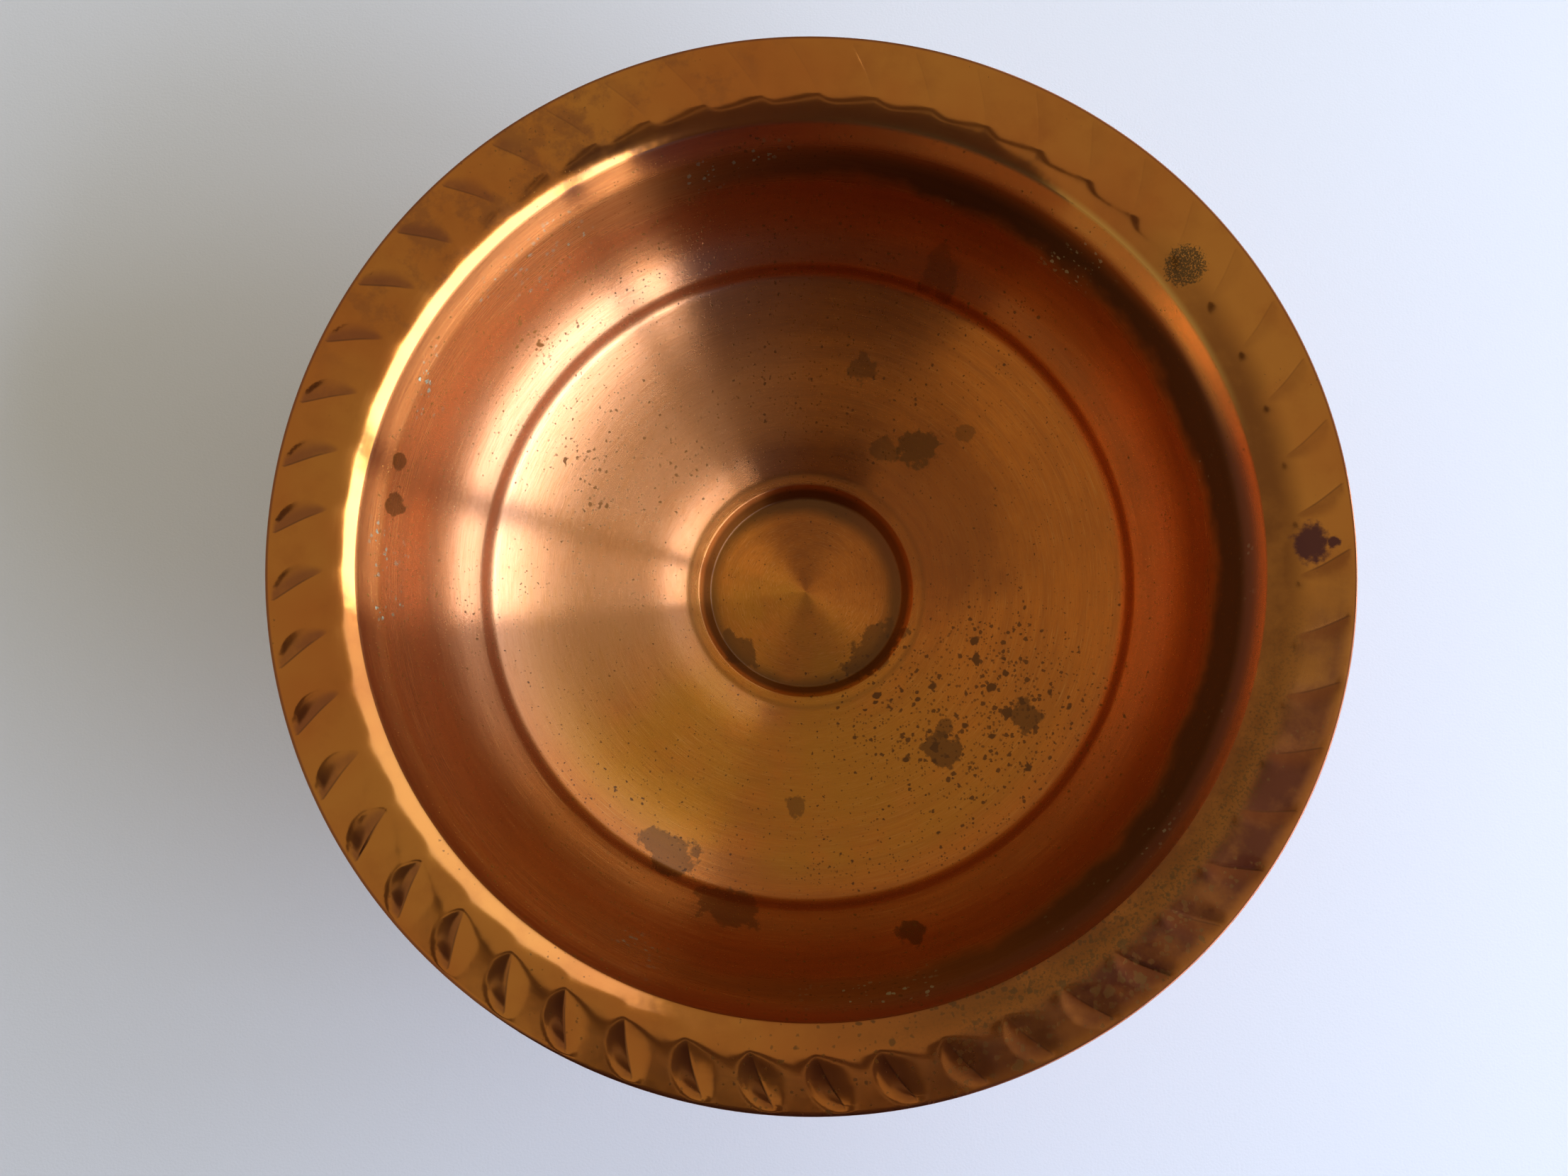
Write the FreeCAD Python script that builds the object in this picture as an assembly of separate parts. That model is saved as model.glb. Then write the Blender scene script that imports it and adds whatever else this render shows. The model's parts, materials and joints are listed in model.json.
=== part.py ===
import FreeCAD, Part
import math
import os

# Footed dish of spun sheet copper.  Millimetres, +Z up, origin on the table at the centre of the foot.

# Driving dimensions
DISH_RADIUS = 130.0
DISH_HEIGHT = 100.0
SHEET = 0.8

# Inside of the dish: each pair is a radius and a drop below the outer edge of the rim
FLANGE_SLOPE = 6.0            # degrees that the flange falls towards the bowl
SHOULDER_RADIUS = 114.1       # where the flange and the wall would meet without the roll
SHOULDER_ROLL = 14.0          # radius of the roll from flange to wall
WALL_TOP = (110.4, 5.8)
WALL_TOP_ROUND = 1.5
WALL_BELLY = (106.3, 12.5)
WALL_BELLY_ROUND = 12.0
WALL_KNUCKLE = (98.5, 36.4)
WALL_KNUCKLE_ROUND = 40.0
STEP_EDGE = (88.3, 47.6)
STEP_EDGE_ROUND = 0.8
STEP_FOOT = (87.2, 51.6)
STEP_FOOT_ROUND = 3.5
FLOOR_KNUCKLE = (73.4, 60.4)
FLOOR_KNUCKLE_ROUND = 80.0
FLOOR_DIP = (43.0, 69.1)
FLOOR_DIP_ROUND = 50.0
FLOOR_END = (34.3, 73.2)
FLOOR_END_ROUND = 3.0
WELL_MOUTH = (31.0, 74.0)
WELL_MOUTH_ROUND = 1.2
WELL_CORNER = (27.9, 78.6)
WELL_CORNER_ROUND = 1.2

# Flutes pressed into the flange: half-moon hollows, each with one straight crease
FLUTE_COUNT = 50
FLUTE_DEPTH = 0.9
CREASE_OUTER = 128.6          # radius of the outer end of a crease
CREASE_INNER = 117.2          # radius of its inner end
CREASE_LEAN = 3.2             # degrees that the inner end is turned clockwise from the outer end

# Foot
FOOT_RADIUS = 54.0
LIP_RADIUS = 36.5
COLLAR_RADIUS = 32.8          # outside of the collar round the well
COLLAR_BEND = 0.8
SWEEP_HEIGHT = 7.2            # where the collar and the skirt would meet without the sweep
SWEEP_ROUND = 15.0
HEM_WIRE_RADIUS = 1.3
HEM_PLAY = 0.02               # between the wire and the sheet rolled round it
HEM_END_ANGLE = 165.0         # where the rolled edge stops, just short of the skirt
FOOT_FLAT = 0.15              # lapped off the bottom of the hem so that the dish stands steady

# Solder
SOLDER_FILM = 0.12            # layer between the lip and the dish
SOLDER_DROP = 2.6             # how far below the lip the fillet fills the wedge beside the well
SOLDER_INSET = 0.2            # how far the film stops short of the lip's edge

ORIGIN = FreeCAD.Vector(0, 0, 0)
UP = FreeCAD.Vector(0, 0, 1)

# The hem is a roll of sheet round the wire
HEM_RADIUS = HEM_WIRE_RADIUS + HEM_PLAY + SHEET
HEM_CENTRE_RADIUS = FOOT_RADIUS - HEM_RADIUS
HEM_CENTRE_HEIGHT = HEM_RADIUS - FOOT_FLAT


def point(radius, height):
    return FreeCAD.Vector(radius, 0.0, height)


def rounded_path(corners):
    """Edges through the corners (radius, height, round), each inner corner rounded by a tangent arc."""
    points = [point(radius, height) for radius, height, _ in corners]
    edges = []
    start = points[0]
    for index in range(1, len(corners) - 1):
        here = points[index]
        bend = corners[index][2]
        back = (points[index - 1] - here).normalize()
        ahead = (points[index + 1] - here).normalize()
        half_angle = back.getAngle(ahead) / 2.0
        reach = bend / math.tan(half_angle)
        inward = (back + ahead).normalize()
        first = here + back * reach
        middle = here + inward * (bend / math.sin(half_angle) - bend)
        last = here + ahead * reach
        edges.append(Part.makeLine(start, first))
        edges.append(Part.Arc(first, middle, last).toShape())
        start = last
    edges.append(Part.makeLine(start, points[-1]))
    return edges


def spun_sheet(edges):
    """Sheet of even thickness on the right of a path, turned once round the Z axis."""
    section = Part.Wire(edges).makeOffset2D(-SHEET, join=0, fill=True, openResult=True)
    return section.revolve(ORIGIN, UP, 360.0).Solids[0]


def flange_height(radius):
    return DISH_HEIGHT - (DISH_RADIUS - radius) * math.tan(math.radians(FLANGE_SLOPE))


def dish_corners():
    """Inside of the dish, from the middle of the well out to the edge of the rim."""
    inside = [
        (WELL_CORNER, WELL_CORNER_ROUND),
        (WELL_MOUTH, WELL_MOUTH_ROUND),
        (FLOOR_END, FLOOR_END_ROUND),
        (FLOOR_DIP, FLOOR_DIP_ROUND),
        (FLOOR_KNUCKLE, FLOOR_KNUCKLE_ROUND),
        (STEP_FOOT, STEP_FOOT_ROUND),
        (STEP_EDGE, STEP_EDGE_ROUND),
        (WALL_KNUCKLE, WALL_KNUCKLE_ROUND),
        (WALL_BELLY, WALL_BELLY_ROUND),
        (WALL_TOP, WALL_TOP_ROUND),
    ]
    corners = [(0.0, DISH_HEIGHT - WELL_CORNER[1], 0.0)]
    for (radius, drop), bend in inside:
        corners.append((radius, DISH_HEIGHT - drop, bend))
    corners.append((SHOULDER_RADIUS, flange_height(SHOULDER_RADIUS), SHOULDER_ROLL))
    corners.append((DISH_RADIUS, DISH_HEIGHT, 0.0))
    return corners


def flute_frame():
    """Placement of a crease: X along the crease towards the rim, Y to its hollow side, Z off the flange."""
    lean = math.radians(CREASE_LEAN)
    outer = FreeCAD.Vector(CREASE_OUTER, 0.0, flange_height(CREASE_OUTER))
    inner = FreeCAD.Vector(CREASE_INNER, 0.0, flange_height(CREASE_INNER))
    inner = FreeCAD.Rotation(UP, -CREASE_LEAN).multVec(inner)
    along = (outer - inner).normalize()
    slope = math.radians(FLANGE_SLOPE)
    off = FreeCAD.Vector(-math.sin(slope) * math.cos(lean / 2), math.sin(slope) * math.sin(lean / 2), math.cos(slope))
    across = off.cross(along).normalize()
    off = along.cross(across)
    turn = FreeCAD.Rotation(along, across * -1.0, off * -1.0, "XYZ")
    return (outer + inner) * 0.5, turn, (outer - inner).Length / 2.0


def flute_tools():
    """Solids that bulge the flange downwards and hollow it from above for one flute."""
    middle, turn, half_length = flute_frame()
    ball_radius = (half_length ** 2 + FLUTE_DEPTH ** 2) / (2.0 * FLUTE_DEPTH)
    # in the crease's own frame Z points down through the flange
    ball_centre = FreeCAD.Vector(0, 0, FLUTE_DEPTH - ball_radius)
    reach = half_length * 1.4
    below = Part.makeBox(2 * reach, reach, 4 * SHEET, FreeCAD.Vector(-reach, 0, SHEET / 2))
    through = Part.makeBox(2 * reach, reach, 6 * SHEET, FreeCAD.Vector(-reach, 0, -2 * SHEET))
    bulge = Part.makeSphere(ball_radius + SHEET, ball_centre).common(below)
    hollow = Part.makeSphere(ball_radius, ball_centre).common(through)
    place = FreeCAD.Placement(middle, turn)
    for tool in (bulge, hollow):
        tool.Placement = place
    inside_rim = Part.makeCylinder(DISH_RADIUS, DISH_HEIGHT)
    return bulge.common(inside_rim), hollow


def around(shape, count):
    """Copies of a shape at even steps round the Z axis."""
    copies = []
    for index in range(count):
        copy = shape.copy()
        copy.rotate(ORIGIN, UP, 360.0 * index / count)
        copies.append(copy)
    return copies


def make_dish():
    """One round of sheet: well, floor, step, wall, rolled shoulder and fluted flange."""
    dish = spun_sheet(rounded_path(dish_corners()))
    bulge, hollow = flute_tools()
    dish = dish.fuse(around(bulge, FLUTE_COUNT))
    dish = dish.cut(around(hollow, FLUTE_COUNT))
    return dish


def lip_height(radius):
    """Underside of the foot's lip, one film of solder and one sheet below the dish's own underside."""
    run = FLOOR_DIP[0] - FLOOR_END[0]
    rise = FLOOR_END[1] - FLOOR_DIP[1]
    floor = DISH_HEIGHT - FLOOR_END[1] + (radius - FLOOR_END[0]) * rise / run
    return floor - (2 * SHEET + SOLDER_FILM) * math.hypot(run, rise) / run


def make_foot():
    """Lip, collar, sweep and skirt, with the edge rolled over the hem wire."""
    hem_centre = point(HEM_CENTRE_RADIUS, HEM_CENTRE_HEIGHT)
    to_turn = point(COLLAR_RADIUS, SWEEP_HEIGHT) - hem_centre
    start_angle = math.atan2(to_turn.z, to_turn.x) - math.acos(HEM_RADIUS / to_turn.Length)
    end_angle = math.radians(HEM_END_ANGLE - 360.0)

    def on_hem(angle):
        return hem_centre + point(HEM_RADIUS * math.cos(angle), HEM_RADIUS * math.sin(angle))

    start = on_hem(start_angle)
    corners = [
        (LIP_RADIUS, lip_height(LIP_RADIUS), 0.0),
        (COLLAR_RADIUS, lip_height(COLLAR_RADIUS), COLLAR_BEND),
        (COLLAR_RADIUS, SWEEP_HEIGHT, SWEEP_ROUND),
        (start.x, start.z, 0.0),
    ]
    roll = Part.Arc(start, on_hem((start_angle + end_angle) / 2.0), on_hem(end_angle)).toShape()
    foot = spun_sheet(rounded_path(corners) + [roll])
    lapped = Part.makeCylinder(DISH_RADIUS, HEM_RADIUS, FreeCAD.Vector(0, 0, -HEM_RADIUS))
    return foot.cut(lapped)


def make_hem_wire():
    """Round wire inside the rolled edge of the foot."""
    return Part.makeTorus(HEM_CENTRE_RADIUS, HEM_WIRE_RADIUS, point(0, HEM_CENTRE_HEIGHT), UP)


def make_solder_seam(dish, foot):
    """Film between lip and dish, and the fillet that fills the wedge between collar and well."""
    film_end = LIP_RADIUS - SOLDER_INSET
    mid_sheet = SHEET / 2
    in_collar = COLLAR_RADIUS - mid_sheet
    wedge_foot = lip_height(COLLAR_RADIUS) - SOLDER_DROP
    wall_lean = (WELL_MOUTH[0] - WELL_CORNER[0]) / (WELL_CORNER[1] - WELL_MOUTH[1])
    in_wall = WELL_CORNER[0] + (wedge_foot - DISH_HEIGHT + WELL_CORNER[1]) * wall_lean + mid_sheet
    outline = [
        point(film_end, lip_height(film_end) + mid_sheet),
        point(film_end, lip_height(film_end) + 3 * mid_sheet),
        point(WELL_MOUTH[0] + SHEET, DISH_HEIGHT - WELL_MOUTH[1] - mid_sheet),
        point(in_wall, wedge_foot),
        point(in_collar, wedge_foot),
        point(in_collar, lip_height(COLLAR_RADIUS)),
    ]
    blank = Part.Face(Part.makePolygon(outline + outline[:1])).revolve(ORIGIN, UP, 360.0)
    return blank.cut([dish, foot])


def main():
    os.makedirs("parts", exist_ok=True)
    dish = make_dish()
    foot = make_foot()
    parts = {
        "dish": dish,
        "foot": foot,
        "hem_wire": make_hem_wire(),
        "solder_seam": make_solder_seam(dish, foot),
    }
    for name, shape in parts.items():
        print(name, shape.isValid(), len(shape.Solids), round(shape.Volume, 1), shape.BoundBox)
        shape.exportStep("parts/" + name + ".step")


main()
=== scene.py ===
"""Footed dish of spun sheet copper with a fluted rim, laid out as an add-on and run as a script.

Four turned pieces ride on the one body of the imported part: the dish, its foot, the wire in the foot's
hem and the solder that joins dish and foot.  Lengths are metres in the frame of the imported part.
"""

import json
import math

import bpy
import numpy as np
from bpy.props import FloatProperty, FloatVectorProperty, IntProperty, PointerProperty
from bpy.types import Operator, Panel, PropertyGroup
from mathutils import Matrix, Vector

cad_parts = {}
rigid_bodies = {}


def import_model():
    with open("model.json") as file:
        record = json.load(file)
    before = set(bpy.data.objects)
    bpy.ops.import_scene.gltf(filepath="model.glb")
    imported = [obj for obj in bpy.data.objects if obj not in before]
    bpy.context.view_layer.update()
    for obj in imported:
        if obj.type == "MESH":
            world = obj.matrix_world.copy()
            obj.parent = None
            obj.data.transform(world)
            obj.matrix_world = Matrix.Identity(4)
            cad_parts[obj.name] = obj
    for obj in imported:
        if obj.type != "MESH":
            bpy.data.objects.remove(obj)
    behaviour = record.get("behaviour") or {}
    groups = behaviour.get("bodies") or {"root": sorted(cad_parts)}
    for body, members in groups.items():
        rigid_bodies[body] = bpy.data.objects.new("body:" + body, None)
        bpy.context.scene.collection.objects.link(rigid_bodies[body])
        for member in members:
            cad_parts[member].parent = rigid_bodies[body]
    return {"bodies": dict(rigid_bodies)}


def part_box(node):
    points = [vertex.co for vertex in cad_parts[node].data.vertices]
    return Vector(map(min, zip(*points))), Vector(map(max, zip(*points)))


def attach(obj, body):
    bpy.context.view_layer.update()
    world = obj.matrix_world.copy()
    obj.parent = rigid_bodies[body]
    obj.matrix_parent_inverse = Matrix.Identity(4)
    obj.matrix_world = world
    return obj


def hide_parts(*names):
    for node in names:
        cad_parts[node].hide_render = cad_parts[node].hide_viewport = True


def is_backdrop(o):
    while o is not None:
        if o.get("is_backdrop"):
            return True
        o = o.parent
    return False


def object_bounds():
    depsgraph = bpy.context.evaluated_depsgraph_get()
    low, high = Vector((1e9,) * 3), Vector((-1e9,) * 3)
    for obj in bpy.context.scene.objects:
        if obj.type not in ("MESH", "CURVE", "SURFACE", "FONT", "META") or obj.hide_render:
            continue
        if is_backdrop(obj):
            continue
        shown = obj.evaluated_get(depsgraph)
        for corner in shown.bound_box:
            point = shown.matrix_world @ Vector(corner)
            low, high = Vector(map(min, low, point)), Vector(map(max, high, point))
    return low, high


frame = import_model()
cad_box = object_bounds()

bl_info = {
    "name": "Footed copper dish",
    "version": (1, 0, 0),
    "blender": (4, 5, 0),
    "location": "3D View > Sidebar > Dish",
    "description": "Builds a spun copper dish with a fluted rim on a rolled foot",
    "category": "Object",
}

MM = 0.001
BODY = next(iter(frame["bodies"]))
DISH_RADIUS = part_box("dish")[1].x
DISH_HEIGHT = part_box("dish")[1].z
FOOT_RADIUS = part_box("foot")[1].x
TURN = 2.0 * math.pi
UV_MAP = "lathe"

# Inside of the dish, millimetres: radius, drop below the rim, and the round of the corner
BOWL_CORNERS = (
    (0.0, 78.6, 0.0),
    (27.9, 78.6, 1.2),
    (31.0, 74.0, 1.2),
    (34.3, 73.2, 3.0),
    (43.0, 69.1, 50.0),
    (73.4, 60.4, 80.0),
    (87.2, 51.6, 5.5),
    (88.3, 47.6, 4.5),
    (98.5, 36.4, 40.0),
    (106.3, 12.5, 12.0),
    (110.4, 5.8, 1.5),
)
SHOULDER_RADIUS = 114.1 * MM    # where flange and wall would meet without the roll
SHOULDER_ROLL = 14.0 * MM
FLOOR_PART = 62.0 * MM          # inside this radius the floor has half the wall's columns
POLISH_START = 110.4 * MM       # the brushing inside stops at this radius
EVEN_START = 113.0 * MM         # rows inside this radius go over to even columns
EVEN_END = 106.0 * MM

# How the columns of one flute are shared out, from its crease to the next, clockwise
FLUTE_COLUMNS = np.array((
    0.0, 0.022, 0.055, 0.095, 0.14, 0.185, 0.23, 0.275, 0.32, 0.365,
    0.41, 0.455, 0.51, 0.57, 0.64, 0.71, 0.78, 0.85, 0.92, 0.975,
))
FLUTE_PHASE = -0.8              # degrees, anticlockwise, of the first crease's outer end
FLUTE_DRIFT = 1.0               # degrees that the spacing wanders once round
FLUTE_DRIFT_AT = 203.0          # degrees clockwise, where it has wandered furthest
FLUTE_UNEVEN = 0.2              # how much one flute's depth differs from the next
FLUTE_DEEPEST = 140.0           # degrees clockwise, where the press bit deepest
FLUTE_FAINT = 0.35              # how much fainter the flutes are across from there
FLUTE_SEED = 7
MOON_SWELL = 1.89               # makes a half moon 0.88 of the flute's width and depth where it is widest
ROLL_WAVE_OUT = 0.8 * MM        # how far outside the creases' inner ends the roll's wave is strongest
ROLL_WAVE_REACH = 2.6 * MM

# Vertex values: how far a point lies in a half moon, and on a crease
HOLLOW = "hollow"
CREASE = "crease"

# Foot, millimetres, under the dish
LIP_RADIUS = 36.5
COLLAR_RADIUS = 32.8
COLLAR_BEND = 0.8
SWEEP_HEIGHT = 7.2
SWEEP_ROUND = 15.0
HEM_WIRE_RADIUS = 1.3
HEM_PLAY = 0.02
WIRE_WAVE = 0.02
HEM_END_ANGLE = 165.0
HEM_LAP = 0.15
HEM_ROLL_POINTS = 90
WIRE_SIDES = 32

# Solder, millimetres
SOLDER_FILM = 0.12
SOLDER_DROP = 2.6
SOLDER_BEAD = 0.8               # how far the bead stands out beyond the lip
SOLDER_LUMP = 0.05              # height of one wave outwards, and of one up and down
SOLDER_SAG = 0.06
SOLDER_SEED = 11


# ---------------------------------------------------------------- outlines

def smooth(value, low, high):
    """Rises from 0 at low to 1 at high as 3x^2 - 2x^3, and stays level outside."""
    share = np.clip((value - low) / (high - low), 0.0, 1.0)
    return share * share * (3.0 - 2.0 * share)


def arc_between(before, corner, after, bend, step=math.radians(2.0)):
    """Points of the arc of radius bend that touches both sides of a corner, in even steps of angle."""
    back = (before - corner) / np.linalg.norm(before - corner)
    ahead = (after - corner) / np.linalg.norm(after - corner)
    half = math.acos(np.clip(back @ ahead, -1.0, 1.0)) / 2.0
    inward = (back + ahead) / np.linalg.norm(back + ahead)
    centre = corner + inward * bend / math.sin(half)
    first = corner + back * bend / math.tan(half) - centre
    last = corner + ahead * bend / math.tan(half) - centre
    start = math.atan2(first[1], first[0])
    sweep = (math.atan2(last[1], last[0]) - start + math.pi) % TURN - math.pi
    angles = start + np.linspace(0.0, sweep, max(4, math.ceil(abs(sweep) / step)))
    return centre + bend * np.stack((np.cos(angles), np.sin(angles)), axis=1)


def rounded(corners):
    """Outline (radius, height) through corners (radius, height, bend): straight sides joined by tangent
    arcs."""
    points = np.array([corner[:2] for corner in corners])
    pieces = [points[:1]]
    for index in range(1, len(corners) - 1):
        bend = corners[index][2]
        if bend:
            pieces.append(arc_between(points[index - 1], points[index], points[index + 1], bend))
        else:
            pieces.append(points[index:index + 1])
    pieces.append(points[-1:])
    return np.concatenate(pieces)


def right_of(outline):
    """Unit vectors to the right of an outline at its points: the mean of the sides' directions, turned a
    quarter."""
    sides = np.diff(outline, axis=0)
    sides /= np.linalg.norm(sides, axis=1, keepdims=True)
    along = np.concatenate((sides[:1], sides[:-1] + sides[1:], sides[-1:]))
    along /= np.linalg.norm(along, axis=1, keepdims=True)
    return np.stack((along[:, 1], -along[:, 0]), axis=1)


def half_round(edge, right, thick, count=7):
    """Half circle of diameter thick from a sheet's edge point round to the point on its other side."""
    turn = np.linspace(0.0, math.pi, count)[1:-1, None]
    ahead = np.array((-right[1], right[0]))
    return edge + thick / 2.0 * (right * (1.0 - np.cos(turn)) + ahead * np.sin(turn))


def sheet_section(outline, thick, at_axis=False):
    """Section of a sheet on the right of its outline: out along it, round the edge, back at distance thick.
    A sheet that starts at the axis is left open there, and any other has a second rounded edge."""
    right = right_of(outline)
    back = (outline + right * thick)[::-1]
    parts = [outline, half_round(outline[-1], right[-1], thick), back]
    if not at_axis:
        parts.append(half_round(back[-1], -right[0], thick))
    return np.concatenate(parts)


def spread(outline, step, bend_step):
    """Points shared out along an outline.  Each side counts for its length over step plus its turning over
    bend_step, and the points stand at even places of the running sum."""
    sides = np.diff(outline, axis=0)
    heading = np.unwrap(np.arctan2(sides[:, 1], sides[:, 0]))
    turning = np.abs(np.diff(heading))
    shared = (np.append(turning, 0.0) + np.append(0.0, turning)) / 2.0
    weight = np.hypot(sides[:, 0], sides[:, 1]) / step + shared / bend_step
    running = np.append(0.0, np.cumsum(weight))
    places = np.linspace(0.0, running[-1], math.ceil(running[-1]) + 1)
    return np.stack([np.interp(places, running, values) for values in outline.T], axis=1)


# ---------------------------------------------------------------- turned surfaces

def lattice(radius, height, turns, run, first):
    """Vertices and face corners of one band: x = r cos a, y = -r sin a, z = h, with the angle a = turns
    clockwise.  A face corner is (vertex number, turns, run along the outline), and one extra column closes
    the band."""
    angle = turns * TURN
    points = np.stack((radius * np.cos(angle), -radius * np.sin(angle), height + 0.0 * angle), axis=-1)
    numbers = first + np.arange(turns.size).reshape(turns.shape)
    corners = np.stack((numbers, turns, run + 0.0 * turns), axis=-1)
    seam = corners[:, :1] + (0.0, 1.0, 0.0)
    return points.reshape(-1, 3), np.concatenate((corners, seam), axis=1)


def quads(before, after):
    """Faces with four corners between rows with the same number of columns."""
    corners = (before[..., :-1, :], before[..., 1:, :], after[..., 1:, :], after[..., :-1, :])
    return np.stack(corners, axis=-2).reshape(-1, 4, 3)


def widen(coarse, fine):
    """Faces with three corners from a row to one with twice its columns."""
    left, right = coarse[:-1], coarse[1:]
    start, middle, end = fine[:-1:2], fine[1::2], fine[2::2]
    faces = ((left, right, middle), (left, middle, start), (right, end, middle))
    return np.concatenate([np.stack(face, axis=1) for face in faces])


def bridge(before, after):
    """Faces between the last row of one band and the first row of the next, which has as many columns, twice
    as many, or half: then they are those of the way back, turned over."""
    if len(before) == len(after):
        return quads(before[None], after[None])
    return widen(before, after) if len(before) < len(after) else widen(after, before)[:, ::-1]


def cap(ring, run, number, opening):
    """Faces with three corners from a ring to the one point on the axis; opening says that the axis comes
    first."""
    point = ring[:-1] + 0.0
    point[:, 0] = number
    point[:, 2] = run
    face = (point, ring[1:], ring[:-1]) if opening else (ring[:-1], ring[1:], point)
    return np.stack(face, axis=1)


def make_mesh(name, points, groups, finishes):
    """Mesh object of faces given in groups (faces, finish number), smooth, with the corners' turns and run
    as its map."""
    faces = [corners for group, _ in groups for corners in group[..., 0].astype(int).tolist()]
    mesh = bpy.data.meshes.new(name)
    mesh.from_pydata(points, [], faces)
    layer = mesh.uv_layers.new(name=UV_MAP)
    layer.data.foreach_set("uv", np.concatenate([group[..., 1:].reshape(-1) for group, _ in groups]))
    numbers = np.concatenate([np.full(len(group), finish) for group, finish in groups])
    mesh.polygons.foreach_set("material_index", numbers)
    mesh.polygons.foreach_set("use_smooth", np.full(len(numbers), True))
    for finish in finishes:
        mesh.materials.append(finish)
    mesh.update()
    if mesh.validate():
        raise RuntimeError(f"{name}: the mesh had faces that Blender had to mend")
    piece = bpy.data.objects.new(name, mesh)
    bpy.context.scene.collection.objects.link(piece)
    return piece


def ring_piece(name, section, columns, finish, step, bend_step, wobble=None):
    """A closed section carried once round the axis: every column is the same section, or, with a wobble,
    one whose radius and height are moved by wobble(turns)."""
    rows = spread(np.concatenate((section, section[:1])), step, bend_step)[:-1]
    turns = np.tile(np.arange(columns) / columns, (len(rows), 1))
    radius, height = rows[:, :1] + 0.0 * turns, rows[:, 1:] + 0.0 * turns
    if wobble:
        out, up = wobble(turns, radius, height)
        radius, height = radius + out, height + up
    run = np.append(0.0, np.cumsum(np.hypot(*np.diff(rows, axis=0).T)))[:, None]
    points, corners = lattice(radius, height, turns, run, 0)
    last = corners[-1:] + 0.0
    closing = corners[:1] + (0.0, 0.0, float(run[-1, 0] + step))
    groups = [(quads(corners[:-1], corners[1:]), 0), (quads(last, closing), 0)]
    return make_mesh(name, points, groups, [finish])


# ---------------------------------------------------------------- the dish

def flute_turns(radius, columns):
    """Clockwise turns of a row's columns.  Outside the roll each flute's columns stand as FLUTE_COLUMNS
    shares them and lean with the crease; further in they even out, which leaves a plain turned surface."""
    sizes = bpy.context.scene.dish_sizes
    each = FLUTE_COLUMNS[::len(FLUTE_COLUMNS) * sizes.flute_count // columns]
    even = np.arange(len(each)) / len(each)
    evenness = smooth(radius, EVEN_START, EVEN_END)[:, :, None]
    shares = each * (1.0 - evenness) + even * evenness
    cells = np.arange(sizes.flute_count)[None, :, None]
    turns = ((cells + shares) / sizes.flute_count).reshape(len(radius), -1)
    drift = FLUTE_DRIFT * np.cos(turns * TURN - math.radians(FLUTE_DRIFT_AT))
    inward = np.clip((sizes.crease_outer - radius) / (sizes.crease_outer - sizes.crease_inner), 0.0, 1.0)
    lean = math.degrees(sizes.crease_lean) * inward
    share = np.broadcast_to(shares, (len(radius), sizes.flute_count, len(each))).reshape(len(radius), -1)
    return turns + (drift + lean - FLUTE_PHASE) / 360.0, share


def flute_press(radius, share):
    """How far the press moves the sheet outwards and upwards, and two masks: half moon and crease.  A flute
    is deepest along its crease.  On the clockwise side it comes back as 1 - c^2 over a half moon, where c
    runs from 0 at the crease to 1 at the far edge and the far edge bows as p^0.8 (1 - p)^0.4 along the
    crease.  On the other side it comes back as (1 - c)^1.3 over a fan that narrows outwards.  The roll
    inside the flutes is pushed out and in by a wave that rises fast behind each crease and falls slowly."""
    sizes = bpy.context.scene.dish_sizes
    length = sizes.crease_outer - sizes.crease_inner
    place = (radius - sizes.crease_inner) / (1.02 * length)
    inside = np.clip(place, 0.0, 1.0)
    moon = MOON_SWELL * inside ** 0.8 * (1.0 - inside) ** 0.4
    across = np.clip(share / np.maximum(sizes.flute_width * moon, 1e-6), 0.0, 1.0)
    fan = sizes.fan_width * np.clip(1.15 - place, 0.0, 1.0) ** 0.7
    behind = np.clip((1.0 - share) / np.maximum(fan, 1e-6), 0.0, 1.0)
    drop = np.maximum(1.0 - across ** 2, (1.0 - behind) ** 1.3)
    uneven = 1.0 + FLUTE_UNEVEN * np.random.default_rng(FLUTE_SEED).uniform(-1.0, 1.0, sizes.flute_count)
    bearing = np.arange(sizes.flute_count) * TURN / sizes.flute_count - math.radians(FLUTE_DEEPEST)
    uneven *= 1.0 - FLUTE_FAINT * (1.0 - np.cos(bearing)) / 2.0
    depth = sizes.flute_depth * np.repeat(uneven, share.shape[1] // sizes.flute_count)
    saw = smooth(share, 0.0, 0.32) * smooth(share, 1.0, 0.2) - 0.5
    near_roll = np.exp(-((radius - sizes.crease_inner - ROLL_WAVE_OUT) / ROLL_WAVE_REACH) ** 2)
    hollow = smooth(moon, 0.0, 0.45) * smooth(across, 1.0, 0.25)
    crease = smooth(moon, 0.35, 0.75) * (share == 0.0)
    return sizes.roll_wave * saw * near_roll, -depth * moon * drop, hollow, crease


def dish_outline():
    """Upper side of the sheet from the middle of the well to the edge of the rim."""
    sizes = bpy.context.scene.dish_sizes
    fall = math.tan(sizes.flange_slope)
    scale = sizes.radius / DISH_RADIUS
    corners = [(r * MM * scale, sizes.height - drop * MM, bend * MM) for r, drop, bend in BOWL_CORNERS]
    edge = sizes.radius - sizes.sheet / 2.0
    for radius, bend in ((SHOULDER_RADIUS * scale, SHOULDER_ROLL), (edge, 0.0)):
        corners.append((radius, sizes.height - (edge - radius) * fall, bend))
    return rounded(corners)


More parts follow.
